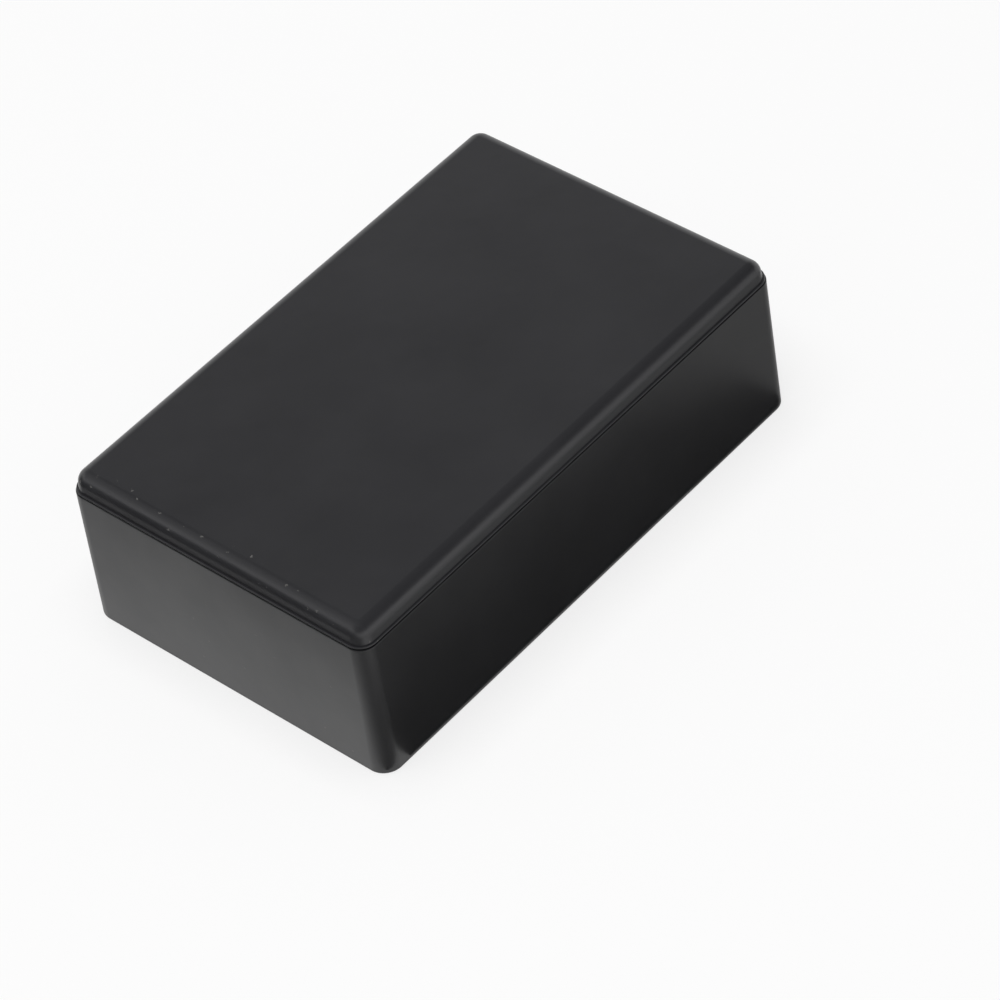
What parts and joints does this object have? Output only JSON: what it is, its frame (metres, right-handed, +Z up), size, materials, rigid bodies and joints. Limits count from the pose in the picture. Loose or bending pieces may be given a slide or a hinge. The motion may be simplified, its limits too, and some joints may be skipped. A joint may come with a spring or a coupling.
{
  "type": "plastic project box",
  "caption": "Small rectangular moulded plastic box with a shallow snap-fit lid, for housing a small circuit board or other electronic parts.",
  "frame": {"origin": "middle of the base the box stands on, at the height of its lowest face", "axes": "+Z up through the lid, X along the long side with the pry notches of the lid at +X, Y along the short side"},
  "size_m": [0.0808, 0.0508, 0.025],
  "materials": {
    "tub_abs": "black ABS as moulded, satin outer faces with a very fine grain",
    "lid_abs": "black ABS as moulded, satin, a little smoother than the tub"
  },
  "bodies": {
    "tub": {"tub": "tub_abs"},
    "snap_lid": {"snap_lid": "lid_abs"}
  },
  "joints": [
    {"name": "lid_lift", "type": "slide", "parent": "tub", "child": "snap_lid", "axis": [0, 0, 1], "range_m": [0, 0.03]}
  ]
}
